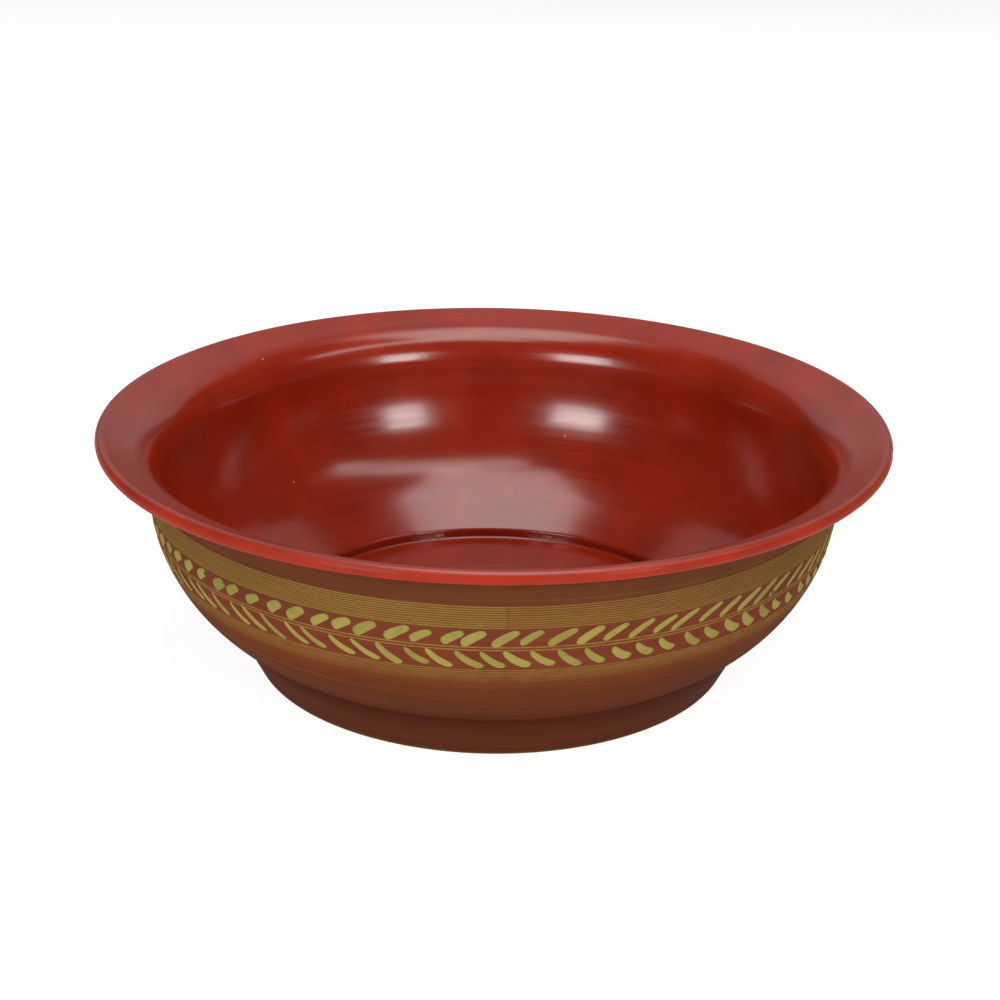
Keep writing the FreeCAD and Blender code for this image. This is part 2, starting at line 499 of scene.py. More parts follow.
def spotted(tree: bpy.types.NodeTree, spots: Sequence[Spot], edge: float = 0.35) -> bpy.types.Node:
    """A mask that is one inside ragged spots.

    Args:
        tree: The material's tree.
        spots: Their places and sizes.
        edge: Share of a spot's size over which it fades.

    Returns:
        A node with the mask.
    """
    place = add(tree, "ShaderNodeTexCoord").outputs["Object"]
    raggedness = 1.1 * MM
    reach = 1.5
    ragged = add(tree, NOISE, place, named={"Scale": 1 / raggedness, "Detail": 2.0})
    mask: bpy.types.Node | float = 0.0
    for spot in spots:
        away = add(tree, VECTOR_MATH, place, spot.centre, operation="DISTANCE")
        uneven = add(tree, MATH, ragged, spot.size, away, operation="MULTIPLY_ADD")
        inside = add(tree, MAP_RANGE, uneven, spot.size * reach, spot.size * (reach - edge), 0.0, 1.0)
        mask = add(tree, MATH, mask, inside, operation="MAXIMUM")
    return mask


def specks(tree: bpy.types.NodeTree, spacing: float, share: float, size: float) -> bpy.types.Node:
    """A mask of sparse small dots.

    Args:
        tree: The material's tree.
        spacing: Distance between the cells that may hold a dot, in metres.
        share: Share of the cells that hold one.
        size: Radius of a dot, in metres.

    Returns:
        A node with the mask.
    """
    place = add(tree, "ShaderNodeTexCoord").outputs["Object"]
    cells = add(tree, VORONOI, place, named={"Scale": 1 / spacing})
    chosen = add(tree, MATH, cells.outputs["Color"], share, operation="LESS_THAN")
    rim = size / spacing
    dot = add(tree, MAP_RANGE, cells.outputs["Distance"], rim, 0.6 * rim, 0.0, 1.0)
    return add(tree, MATH, chosen, dot, operation="MULTIPLY")


def layered(tree: bpy.types.NodeTree, colour: Value, *layers: tuple[bpy.types.Node, str]) -> Value:
    """Lay tints over a colour, each through its own mask.

    Args:
        tree: The material's tree.
        colour: The colour below.
        *layers: Mask and hex colour of each layer, from the lowest up.

    Returns:
        The colour on top.
    """
    for mask, tint in layers:
        colour = add(tree, MIX, mask, colour, linear(tint), data_type="RGBA")
    return colour


def banded(tree: bpy.types.NodeTree, bands: Sequence[tuple[float, str]], waver: float) -> bpy.types.Node:
    """Colour by height above the standing plane, with slightly wavering borders.

    Args:
        tree: The material's tree.
        bands: Height in millimetres and hex colour of each stop, from the lowest up.
        waver: How far a border wanders, in metres.

    Returns:
        A node with the colour.
    """
    height = add(tree, SEPARATE, add(tree, "ShaderNodeTexCoord").outputs["Object"]).outputs["Z"]
    wander = streaks(tree, 30 * MM, 12 * MM, 2.0)
    level = add(tree, MATH, wander, 2 * waver, height, operation="MULTIPLY_ADD")
    heights = [at * MM for at, _ in bands]
    low, high = heights[0], heights[-1]
    share = add(tree, MAP_RANGE, level, low + waver, high + waver, 0.0, 1.0)
    ramp = add(tree, "ShaderNodeValToRGB", share)
    stops = ramp.color_ramp.elements
    for _ in range(len(bands) - len(stops)):
        stops.new(0.5)
    for stop, at in zip(stops, heights):
        stop.position = (at - low) / (high - low)
    for stop, (_, colour) in zip(stops, bands):
        stop.color = linear(colour)
    return ramp


# ---------------------------------------------------------------- finishes
def new_finish(name: str) -> tuple[bpy.types.Material, bpy.types.NodeTree, bpy.types.Node]:
    """Start a material.

    Args:
        name: Name of the finish.

    Returns:
        The material, its tree and its Principled shader.
    """
    material = bpy.data.materials.new(name)
    material.use_nodes = True
    tree = material.node_tree
    return material, tree, tree.nodes["Principled BSDF"]


@dataclass(frozen=True)
class Surface:
    """How a finish takes light, apart from its colour.

    The roughness wanders between "smooth" and "dull" times its middle value. The defaults are
    those of lacquer or paint that is rubbed dull and has a thin clear coat.
    """

    roughness: float
    dull: float = 1.3
    smooth: float = 0.8
    relief: float = 0.05 * MM
    relief_strength: float = 0.3
    specular: float = 0.0
    coat: float = 0.05
    coat_roughness: float = 0.3
    ior: float = 1.5

    def dress(self, tree: bpy.types.NodeTree, shader: bpy.types.Node, colour: Value,
              pattern: bpy.types.Node, relief: bpy.types.Node, worn: bpy.types.Node | None = None) -> None:
        """Give a shader its colour, uneven gloss and fine relief.

        Args:
            tree: The material's tree.
            shader: Its Principled shader.
            colour: Node with the base colour.
            pattern: Noise that says where the surface is smoother or duller.
            relief: Noise that stands up from the surface.
            worn: Node with the extra roughness of worn places.
        """
        rubbed = add(tree, MAP_RANGE, pattern, *NOISE_SPAN, self.roughness * self.smooth,
                     self.roughness * self.dull)
        if worn is not None:
            rubbed = add(tree, MATH, rubbed, worn, operation="ADD")
        bump = add(tree, "ShaderNodeBump", named={"Height": relief, "Strength": self.relief_strength,
                                                  "Distance": self.relief})
        for name, node in (("Base Color", colour), ("Roughness", rubbed), ("Normal", bump)):
            tree.links.new(output(node), shader.inputs[name])
        shader.inputs["IOR"].default_value = self.ior
        shader.inputs["Specular IOR Level"].default_value = self.specular
        shader.inputs["Coat Weight"].default_value = self.coat
        shader.inputs["Coat Roughness"].default_value = self.coat_roughness


@dataclass(frozen=True)
class RedLacquer:
    """Brushed red lacquer of the inside and the lip.

    Coats brushed on in rings over putty and rubbed down: a clear gloss over a slightly mottled
    dark red, with faint level streaks, dust nibs and a few orange and pale chips. The brim, which
    hands hold, is duller.
    """

    name: str = "red_lacquer_brushed"
    deep: str = "#7f1e0a"
    light: str = "#93250e"
    orange: str = "#c25a2c"
    chip: str = "#b98a6a"
    streak_share: float = 0.3
    contrast: float = 0.22
    brim: tuple[float, float] = (148 * MM, 158 * MM)
    brim_roughness: float = 0.2
    surface: Surface = Surface(0.19, relief=0.04 * MM, relief_strength=0.25, specular=0.5, coat=0.1,
                               coat_roughness=0.1)
    chips: tuple[Spot, ...] = ()
    flecks: tuple[Spot, ...] = ()

    def material(self) -> bpy.types.Material:
        """Build the material."""
        material, tree, shader = new_finish(self.name)
        rings = streaks(tree, 140 * MM, 1.6 * MM)
        tone = add(tree, MATH, rings, self.streak_share, cloud(tree, 26 * MM), operation="MULTIPLY_ADD")
        middle = 0.5 + 0.5 * self.streak_share
        tone = add(tree, MAP_RANGE, tone, middle - self.contrast, middle + self.contrast, 0.0, 1.0)
        marks = [(specks(tree, 12 * MM, 0.04, 0.4 * MM), self.orange)]
        marks += [(spotted(tree, spots), tint)
                  for spots, tint in ((self.flecks, self.orange), (self.chips, self.chip)) if spots]
        colour = layered(tree, linear(self.deep), (tone, self.light), *marks)
        x, y, _ = add(tree, SEPARATE, add(tree, "ShaderNodeTexCoord").outputs["Object"]).outputs
        radius = add(tree, VECTOR_MATH, add(tree, COMBINE, x, y), operation="LENGTH")
        handled = add(tree, MAP_RANGE, radius, *self.brim, 0.0, self.brim_roughness)
        self.surface.dress(tree, shader, colour, rings, cloud(tree, 2.2 * MM, 2.0), handled)
        return material


@dataclass(frozen=True)
class PaintedLacquer:
    """Brown-red lacquer of the outside, with thin ochre washes under the painted lines.

    Turned against a brush in rings and rubbed dull: softer gloss than the inside, level streaks,
    and bands of colour by height: paler where the washes were laid, darker towards the bottom,
    and a brown band under the brim that is darkened further as painted shade.
    """

    # Stops by height in mm. The brown band from 86.6 to 102.6, under the brim, is partly the lacquer's own
    # colour and partly painted shade; the lowest stops are darker towards the bottom.
    bands: tuple[tuple[float, str], ...] = (
        (21.3, "#532512"),
        (30.0, "#512210"),
        (46.0, "#5a2a13"),
        (51.0, "#633118"),
        (55.5, "#6c3f1c"),
        (58.0, "#68311d"),
        (66.0, "#672f1d"),
        (76.5, "#64311f"),
        (77.6, "#6a401f"),
        (85.0, "#633a1d"),
        (86.6, "#582e19"),
        (102.6, "#562b18"),
        (103.4, "#6e2115"),
    )
    wash: str = "#745228"
    grime: str = "#2c2018"
    surface: Surface = Surface(0.42)
    smudges: tuple[Spot, ...] = ()

    def material(self) -> bpy.types.Material:
        """Build the material."""
        material, tree, shader = new_finish("painted_brown_red_lacquer")
        rings = streaks(tree, 160 * MM, 1.3 * MM)
        thin = add(tree, MAP_RANGE, rings, 0.52, 0.75, 0.0, 0.3)
        shade = add(tree, MAP_RANGE, cloud(tree, 22 * MM, 4.0), *NOISE_SPAN, 0.22, 0.0)
        layers = [(thin, self.wash), (shade, self.grime)]
        if self.smudges:
            mask = add(tree, MATH, spotted(tree, self.smudges, 0.9), 0.6, operation="MULTIPLY")
            layers.append((mask, self.grime))
        colour = layered(tree, banded(tree, self.bands, 0.35 * MM), *layers)
        self.surface.dress(tree, shader, colour, rings, cloud(tree, 1.4 * MM))
        return material


@dataclass(frozen=True)
class FootLacquer:
    """Dark red-brown lacquer of the foot, rubbed pale along its standing edge, with painted shadow darkening
    its top under the crease.
    """

    # Stops by height in mm: rubbed pale at the standing edge; the darkest stops at the top are painted shadow
    # under the crease.
    bands: tuple[tuple[float, str], ...] = (
        (0.0, "#795c3c"),
        (1.1, "#5d3b1e"),
        (2.2, "#462112"),
        (9.0, "#4c2313"),
        (15.0, "#451f10"),
        (21.3, "#3c170b"),
    )
    dust: str = "#684c32"
    surface: Surface = Surface(0.45, dull=1.25, relief=0.06 * MM, relief_strength=0.35)

    def material(self) -> bpy.types.Material:
        """Build the material."""
        material, tree, shader = new_finish("foot_lacquer_rubbed")
        scuffs = streaks(tree, 60 * MM, 1.2 * MM, 4.0)
        worn = add(tree, MAP_RANGE, scuffs, 0.56, 0.8, 0.0, 0.35)
        colour = layered(tree, banded(tree, self.bands, 0.5 * MM), (worn, self.dust))
        self.surface.dress(tree, shader, colour, scuffs, cloud(tree, 1.6 * MM))
        return material


@dataclass(frozen=True)
class StreakedFinish:
    """A finish of two tones in fine streaks that also stand up from the surface."""

    name: str
    low: str
    high: str
    run: float
    across: float
    surface: Surface

    def material(self) -> bpy.types.Material:
        """Build the material."""
        material, tree, shader = new_finish(self.name)
        grain = streaks(tree, self.run, self.across, 4.0)
        tone = add(tree, MAP_RANGE, grain, 0.35, 0.7, 0.0, 1.0)
        colour = layered(tree, linear(self.low), (tone, self.high))
        self.surface.dress(tree, shader, colour, grain, grain)
        return material


# Thin dark lacquer under the floor and inside the foot, brushed and left matt.
UNDERSIDE_LACQUER = StreakedFinish(
    "dark_lacquer_underside", "#1d110b", "#3a2013", 90 * MM, 2.4 * MM,
    Surface(0.5, dull=1.2, relief=0.1 * MM, relief_strength=0.4, specular=0.5, coat=0.0))
# Split bamboo: pale straw, with straight fibres that run the length of the strip.
SPLIT_BAMBOO = StreakedFinish(
    "split_bamboo", "#c9a56a", "#8c6536", 40 * MM, 0.5 * MM,
    Surface(0.55, dull=1.15, smooth=0.85, relief=0.08 * MM, relief_strength=0.5, specular=0.5, coat=0.0))


@dataclass(frozen=True)
class OchrePaint:
    """Ochre lacquer paint, laid thickly with a small brush.

    Opaque and a little dull. It is paler where it lies thick and greenish brown where the dark
    ground shows through.
    """

    name: str
    thick: str
    thin: str
    smudge: str = "#3b3b22"
    surface: Surface = Surface(0.5, dull=1.2, smooth=0.85, coat=0.06)
    smudges: tuple[Spot, ...] = ()

    def material(self) -> bpy.types.Material:
        """Build the material; a "load" attribute from 0 to 1 says how thick the paint lies."""
        material, tree, shader = new_finish(self.name)
        load = add(tree, "ShaderNodeAttribute", attribute_name="load").outputs["Fac"]
        patches = cloud(tree, 5 * MM, 4.0)
        amount = add(tree, MATH, load, patches, operation="ADD")
        amount = add(tree, MAP_RANGE, amount, 0.45, 1.35, 0.0, 1.0)
        layers = [(amount, self.thick)]
        if self.smudges:
            layers.append((spotted(tree, self.smudges, 0.7), self.smudge))
        colour = layered(tree, linear(self.thin), *layers)
        self.surface.dress(tree, shader, colour, patches, streaks(tree, 4 * MM, 0.5 * MM, 2.0))
        return material


@dataclass(frozen=True)
class PaleFloor:
    """Plain white studio light table: matt, and lit from below so that shadows stay faint."""

    white: str = "#979797"
    shade: str = "#909090"
    glow: float = 0.89

    def material(self) -> bpy.types.Material:
        """Build the material."""
        material, tree, shader = new_finish("studio_sheet")
        colour = layered(tree, linear(self.shade), (cloud(tree, 900 * MM), self.white))
        tree.links.new(output(colour), shader.inputs["Base Color"])
        shader.inputs["Roughness"].default_value = 0.9
        shader.inputs["Specular IOR Level"].default_value = 0.0
        shader.inputs["Emission Color"].default_value = WHITE
        shader.inputs["Emission Strength"].default_value = self.glow
        return material


# ---------------------------------------------------------------- lacquer skins
def swept_skin_tree(material: bpy.types.Material) -> bpy.types.NodeTree:
    """Tree that sweeps a section loop round the bowl and raises ring ridges on its finished face.

    Args:
        material: The finish of the skin.

    Returns:
        The tree. It reads the section's attributes "finished" and "station".
    """
    tree, given = new_tree("swept_skin", {
        "Sweep radius": 0.15,
        "Segments": 480,
        "Ridge height": 0.1 * MM,
        "Ridge spacing": 16 * MM,
        "Ridge run": 150 * MM,
        "Seed": 1.0,
    })
    size = given.outputs
    section = add(tree, "GeometryNodeMeshToCurve", size["Geometry"])
    circle = add(tree, "GeometryNodeCurvePrimitiveCircle", size["Segments"], size["Sweep radius"])
    sweep = add(tree, "GeometryNodeCurveToMesh", circle, section)

    x, y, _ = add(tree, SEPARATE, add(tree, "GeometryNodeInputPosition")).outputs
    station = add(tree, NAMED_ATTRIBUTE, "station")
    finished = add(tree, NAMED_ATTRIBUTE, "finished")
    place = add(tree, COMBINE,
                add(tree, MATH, x, size["Ridge run"], operation="DIVIDE"),
                add(tree, MATH, y, size["Ridge run"], operation="DIVIDE"),
                add(tree, MATH, station, size["Ridge spacing"], operation="DIVIDE"))
    ridges = add(tree, NOISE, place, size["Seed"], noise_dimensions="4D",
                 named={"Scale": 1.0, "Detail": 1.5, "Roughness": 0.45})
    level = add(tree, MATH, ridges, 0.5, operation="SUBTRACT")
    raised = add(tree, MATH, level, size["Ridge height"], operation="MULTIPLY")
    raised = add(tree, MATH, raised, finished, operation="MULTIPLY")
    offset = add(tree, VECTOR_MATH, add(tree, "GeometryNodeInputNormal"), operation="SCALE",
                 named={"Scale": raised})
    moved = add(tree, "GeometryNodeSetPosition", sweep, named={"Offset": offset})
    close_tree(tree, moved, material)
    return tree


@dataclass(frozen=True)
class Dent:
    """A shallow chipped place in a skin."""

    spot: Spot
    depth: float


@dataclass
class SweptSkin:
    """A skin of ground and lacquer that goes all the way round.

    Its section is a loop: the finished face, then the hidden face against the strips.
    """

    name: str
    node: str
    slot: Slot
    finished: list[Vector]
    hidden: list[Vector]
    segments: int = 480
    ridge_height: float = 0.2 * MM
    ridge_spacing: float = 17 * MM
    ridge_run: float = 170 * MM
    settle: float = 2.5 * MM
    seed: float = 1.0
    dents: tuple[Dent, ...] = ()

    def section(self) -> bpy.types.Mesh:
        """Draw the section as a loop of edges, with how far along and how finished each point is.

        Returns:
            A mesh whose X is the radius less the sweep radius and whose Y is the height, downwards.
        """
        points = self.finished + self.hidden[::-1]
        stations = [0.0]
        for before, after in zip(points, points[1:]):
            stations.append(stations[-1] + (after - before).length)
        length = stations[len(self.finished) - 1]
        mesh = bpy.data.meshes.new(f"{self.name}_section")
        corners = [(point.x - self.sweep_radius, -point.y, 0.0) for point in points]
        count = len(points)
        mesh.from_pydata(corners, [(index, (index + 1) % count) for index in range(count)], [])
        to_end = [min(station, length - station) / self.settle for station in stations]
        weights = [max(0.0, min(1.0, share)) for share in to_end]
        for label, values in (("station", stations), ("finished", weights)):
            mesh.attributes.new(label, "FLOAT", "POINT").data.foreach_set("value", values)
        return mesh

    @property
    def sweep_radius(self) -> float:
        """Radius of the circle that carries the section."""
        return self.finished[0].x

    def build(self, finish: bpy.types.Material) -> bpy.types.Object:
        """Sweep the section and attach the piece.

        Args:
            finish: The material of the skin.

        Returns:
            The piece.
        """
        piece = baked(self.name, swept_skin_tree(finish), {
            "Sweep radius": self.sweep_radius,
            "Segments": self.segments,
            "Ridge height": self.ridge_height,
            "Ridge spacing": self.ridge_spacing,
            "Ridge run": self.ridge_run,
            "Seed": self.seed,
        }, self.section())
        for dent in self.dents:
            self.press(piece.data, dent)
        return attach(piece, self.slot, self.node)

    @staticmethod
    def press(mesh: bpy.types.Mesh, dent: Dent) -> None:
        """Push the vertices round a spot in along their normals.

        Args:
            mesh: The skin's mesh.
            dent: Where and how deep.
        """
        centre = Vector(dent.spot.centre)
        normals = [vertex.normal.copy() for vertex in mesh.vertices]
        for vertex, normal in zip(mesh.vertices, normals):
            share = 1 - (vertex.co - centre).length / dent.spot.size
            if share > 0:
                vertex.co -= normal * dent.depth * min(1.0, 2 * share)


@dataclass(frozen=True)
class FootForm:
    """The foot ring's faces, worked out from the wall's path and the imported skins."""

    wall: WallForm
    bare_edge: float
    under_floor: float
    gain: float = 21.0 * MM
    crease_fill: float = 5.2 * MM

    @classmethod
    def from_frame(cls, wall: WallForm) -> "FootForm":
        """Read the foot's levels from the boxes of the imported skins."""
        return cls(wall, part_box("foot_lacquer")[0].z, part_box("base_lacquer")[0].z)

    @property
    def edge_radius(self) -> float:
        """Radius of the outer face, carried down to the standing plane."""
        crease = self.wall.crease
        return crease.x - crease.y * math.tan(self.wall.lower_heading) + self.gain

    @property
    def heading(self) -> float:
        """Lean of the foot's outer face from the vertical."""
        return math.atan2(self.wall.crease.x - self.edge_radius, self.wall.crease.y)

    @property
    def across(self) -> float:
        """Level width of a skin on the leaning face."""
        return self.wall.skin / math.cos(self.heading)

    def face(self, height: float) -> Vector:
        """The outer face at a height."""
        return Vector((self.edge_radius + height * math.tan(self.heading), height))

    def core(self, height: float) -> Vector:
        """The strips' outer face at a height."""
        return self.face(height) - Vector((self.across, 0.0))

    def bore_core(self, height: float) -> Vector:
        """The strips' inner face at a height, below the floor."""
        drop = self.wall.floor_top - self.wall.skin - height
        return Vector((self.wall.well_radius - drop * math.tan(self.heading), height))

    def bore(self, height: float) -> Vector:
        """The finished face of the bore at a height."""
        return self.bore_core(height) - Vector((self.across, 0.0))


@dataclass
class SkinSet:
    """The four skins that go round the bowl: inside, outside, foot and bore."""

    wall: WallForm
    foot: FootForm
    step: float = 1.2 * MM
    hidden_step: float = 6.0 * MM
    well_step: float = 4.5 * MM
    well_edge_round: float = 2.2 * MM
    crease_groove: float = 0.4 * MM
    crease_round: float = 1.8 * MM
    foot_edge_round: float = 0.65 * MM

    def eased(self, points: list[Vector], crease: Vector, heading: float) -> list[Vector]:
        """Dip a face into a soft groove where it ends at the crease.

        Args:
            points: The face's points.
            crease: The end that dips.
            heading: The face's heading there.

        Returns:
            The points, moved in near the crease.
        """
        moved = []
        for point in points:
            ease = max(0.0, 1 - (point - crease).length / self.crease_round)
            moved.append(point + inward(heading) * self.crease_groove * ease ** 2)
        return moved

    def inner(self) -> SweptSkin:
        """Skin of the inside, from the floor joint up and over the lip."""
        wall = self.wall
        heading = wall.lower_heading
        joint = wall.floor_top - wall.skin
        edge_height = wall.floor_top + self.well_step
        round_start = edge_height - self.well_edge_round * math.tan(heading / 2)
        centre = Vector((wall.well_radius + self.well_edge_round, round_start))
        edge = arc(centre, self.well_edge_round, 0.0, heading, self.step / 4)
        upper = wall.face(wall.wall_thickness, self.step)
        finished = chained(straight(Vector((wall.well_radius, joint)), edge[0], self.step / 2), edge,
                           straight(edge[-1], upper[0], self.step), upper,
                           wall.lip(0.0, self.step / 3))
        core = wall.face(wall.wall_thickness - wall.skin, self.hidden_step)
        core_side = wall.well_radius + wall.skin
        run = (core_side - core[0].x) / along(heading).x
        hidden = chained([Vector((core_side, joint)), core[0] + along(heading) * run], core,
                         wall.lip(wall.skin, self.step))
        return SweptSkin("inner_skin", "inner_lacquer", Slot.RED, finished, hidden,
                         ridge_height=0.34 * MM, seed=3.0)

    def outer(self) -> SweptSkin:
        """Skin of the outside, from the crease up to the underside of the lip."""
        wall = self.wall
        plain = wall.face(0.0, self.step)
        finished = chained(straight(plain[0], plain[2], self.step / 5), plain[2:])
        return SweptSkin("outer_skin", "outer_lacquer", Slot.PAINTED,
                         self.eased(finished, wall.crease, wall.lower_heading),
                         wall.face(wall.skin, self.hidden_step), ridge_height=0.14 * MM, seed=8.0)

    def foot_outside(self) -> SweptSkin:
        """Skin of the foot's outside, rounded at its standing edge."""
        foot, crease = self.foot, self.wall.crease
        heading, reach = foot.heading, self.foot_edge_round
        start = foot.face(foot.bare_edge + reach * (1 - math.sin(heading)))
        edge = arc(start + inward(heading) * reach, -reach, math.pi / 2, heading, reach / 4)
        plain = chained([foot.core(foot.bare_edge)], edge, straight(start, crease, self.step / 2))
        wall_side = crease + inward(self.wall.lower_heading) * self.wall.skin
        wrap_top = crease.y - foot.crease_fill
        run = (wrap_top - wall_side.y) / along(self.wall.lower_heading).y
        hidden = [foot.core(foot.bare_edge + reach), foot.core(wrap_top),
                  wall_side + along(self.wall.lower_heading) * run, wall_side]
        return SweptSkin("foot_skin", "foot_lacquer", Slot.FOOT, self.eased(plain, crease, heading),
                         hidden, ridge_height=0.14 * MM, seed=5.0)

    def bore(self) -> SweptSkin:
        """Skin of the foot's bore, below the floor."""
        foot = self.foot
        top = foot.under_floor + self.wall.skin
        finished = straight(foot.bore(top), foot.bore(foot.bare_edge), self.step / 2)
        hidden = [foot.bore_core(top), foot.bore_core(foot.bare_edge)]
        return SweptSkin("foot_bore_skin", "foot_inner_lacquer", Slot.DARK, finished, hidden,
                         ridge_height=0.1 * MM, settle=1.0 * MM, seed=6.0)


@dataclass
class DiscSkin:
    """A round skin over the floor's strips, with a fillet where it meets what is round it."""

    name: str
    node: str
    slot: Slot
    face_height: float
    back_height: float
    radius: float
    curl: float = 1.6 * MM
    strip_width: float = 6.9 * MM
    ridge_height: float = 0.02 * MM
    step: float = 1.6 * MM
    segments: int = 480

    def profile(self) -> list[Vector]:
        """Draw half a section, from the middle of the face round to the middle of the back."""
        side = 1 if self.face_height > self.back_height else -1
        fillet = self.radius - self.curl
        face = []
        flat = straight(Vector((0.0, self.face_height)), Vector((fillet, self.face_height)), self.step)
        for point in flat:
            ripple = self.ridge_height * math.cos(FULL_TURN * point.x / self.strip_width)
            fade = min(1.0, (fillet - point.x) / self.strip_width)
            face.append(point + Vector((0.0, side * ripple * fade)))
        bends = 6
        turns = [math.pi / 2 * index / bends for index in range(1, bends + 1)]
        rise = [Vector((fillet + self.curl * math.sin(turn),
                        self.face_height + side * self.curl * (1 - math.cos(turn)))) for turn in turns]
        corner = Vector((self.radius, self.back_height))
        back = straight(corner, Vector((0.0, self.back_height)), 12 * self.step)
        return chained(face, rise, [corner], back)

    def build(self, finish: bpy.types.Material) -> bpy.types.Object:
        """Turn the section into a closed disc and attach it.

        Args:
            finish: The material of the skin.

        Returns:
            The piece.
        """
        profile = self.profile()
        first, *rings, last = profile
        corners = [(0.0, 0.0, first.y)]
        for index in range(self.segments):
            angle = FULL_TURN * index / self.segments
            corners += [(p.x * math.cos(angle), p.x * math.sin(angle), p.y) for p in rings]
        corners.append((0.0, 0.0, last.y))
        count, end = len(rings), len(corners) - 1
        faces: list[tuple[int, ...]] = []
        for index in range(self.segments):
            here = 1 + index * count
            there = 1 + (index + 1) % self.segments * count
            faces.append((0, here, there))
            faces += [(here + k, here + k + 1, there + k + 1, there + k) for k in range(count - 1)]
            faces.append((end, there + count - 1, here + count - 1))
        mesh = bpy.data.meshes.new(self.name)
        mesh.from_pydata(corners, [], faces)
        mesh.shade_smooth()
        mesh.materials.append(finish)
        return attach(placed(self.name, mesh), self.slot, self.node)


# ---------------------------------------------------------------- painted band
WALL_INPUTS = {
    "Belly radius": 0.149,
    "Belly curve": 0.072,
    "Belly top": 0.082,
}


def onto_wall(tree: bpy.types.NodeTree, given: bpy.types.Node, turn: Value, station: Value,
              lift: Value) -> bpy.types.Node:
    """Bend a flat drawing onto the upright run and the belly.

    Args:
        tree: The tree that gets the nodes.
        given: Its group input, with the wall's sizes.
        turn: Angle round the bowl from the front.
        station: Distance up the outer face from the belly's top.
        lift: Distance out from the face.

    Returns:
        A node with the bent position.
    """
    curve = given.outputs["Belly curve"]
    bend = add(tree, MATH, add(tree, MATH, station, curve, operation="DIVIDE"), 0.0, operation="MINIMUM")
    above = add(tree, MATH, station, 0.0, operation="MAXIMUM")
    cosine, sine = (add(tree, MATH, bend, operation=name) for name in ("COSINE", "SINE"))
    reach = add(tree, MATH, curve, lift, operation="ADD")
    middle = add(tree, MATH, given.outputs["Belly radius"], curve, operation="SUBTRACT")
    radius = add(tree, MATH, reach, cosine, middle, operation="MULTIPLY_ADD")
    base = add(tree, MATH, given.outputs["Belly top"], above, operation="ADD")
    height = add(tree, MATH, reach, sine, base, operation="MULTIPLY_ADD")
    across, back = (add(tree, MATH, radius, add(tree, MATH, turn, operation=name), operation="MULTIPLY")
                    for name in ("SINE", "COSINE"))
    return add(tree, COMBINE, across, add(tree, MATH, back, -1.0, operation="MULTIPLY"), height)


def painted_lines_tree(material: bpy.types.Material) -> bpy.types.NodeTree:
    """Tree for level painted lines, each drawn once round from a start to an end that meet.

    Args:
        material: The paint.

    Returns:
        The tree.
    """
    tree, given = new_tree("painted_lines", {
        **WALL_INPUTS,
        "Count": 9,
        "Segments": 360,
        "Top station": 0.0,
        "Pitch": 1.0 * MM,
        "Half width": 0.3 * MM,
        "Half height": 0.2 * MM,
        "Start turn": 0.0,
        "Gap": 0.002,
        "Start load": 0.8,
        "End load": 1.2,
        "Last line": 1.0,
        "Waver": 0.1 * MM,
        "Seed": 0.0,
    })
    size = given.outputs
    starts = add(tree, "GeometryNodeMeshLine", size["Count"], None, (0.0, 0.0, 0.0))
    index = add(tree, "GeometryNodeInputIndex")
    starts = add(tree, STORE_ATTRIBUTE, starts, None, "line", index)
    sides = 6
    rod = add(tree, "GeometryNodeMeshCylinder", sides, size["Segments"], None, 1.0, 1.0)
    lines = add(tree, "GeometryNodeRealizeInstances",
                add(tree, "GeometryNodeInstanceOnPoints", starts, None, rod))

    x, y, z = add(tree, SEPARATE, add(tree, "GeometryNodeInputPosition")).outputs
    line = add(tree, NAMED_ATTRIBUTE, "line")
    round_share = add(tree, MATH, z, 0.5, operation="ADD")
    drawn = add(tree, MATH, FULL_TURN, size["Gap"], operation="SUBTRACT")
    turn = add(tree, MATH, round_share, drawn, size["Start turn"], operation="MULTIPLY_ADD")
    east, north = (add(tree, MATH, turn, operation=name) for name in ("SINE", "COSINE"))
    between_lines = 7.3
    place = add(tree, COMBINE, east, north, add(tree, MATH, line, between_lines, operation="MULTIPLY"))
    slow, quick = (
        add(tree, NOISE, place, size["Seed"], noise_dimensions="4D", named={"Scale": scale, "Detail": detail})
        for scale, detail in ((3.0, 3.0), (14.0, 2.0)))
    load = add(tree, MIX, round_share, size["Start load"], size["End load"], data_type="FLOAT")
    uneven = add(tree, MAP_RANGE, quick, 0.25, 0.75, 0.7, 1.25)
    load = add(tree, MATH, load, uneven, operation="MULTIPLY")
    last = add(tree, MATH, size["Count"], 1.0, operation="SUBTRACT")
    down = add(tree, MATH, line, last, operation="DIVIDE")
    fade = add(tree, MIX, down, 1.0, size["Last line"], data_type="FLOAT")
    load = add(tree, MATH, load, fade, operation="MULTIPLY")

    wander = add(tree, MATH, add(tree, MATH, slow, 0.5, operation="SUBTRACT"), size["Waver"],
                 operation="MULTIPLY")
    level = add(tree, MATH, add(tree, MATH, line, -1.0, operation="MULTIPLY"), size["Pitch"],
                size["Top station"], operation="MULTIPLY_ADD")
    level = add(tree, MATH, level, wander, operation="ADD")
    scaled = [add(tree, MATH, value, size[label], operation="MULTIPLY")
              for value, label in ((x, "Half width"), (y, "Half height"))]
    breadth, lift = (add(tree, MATH, value, load, operation="MULTIPLY") for value in scaled)
    station = add(tree, MATH, level, breadth, operation="ADD")
    lines = add(tree, STORE_ATTRIBUTE, lines, None, "load", load)
    bent = add(tree, "GeometryNodeSetPosition", lines, None, onto_wall(tree, given, turn, station, lift))
    close_tree(tree, bent, material)
    return tree


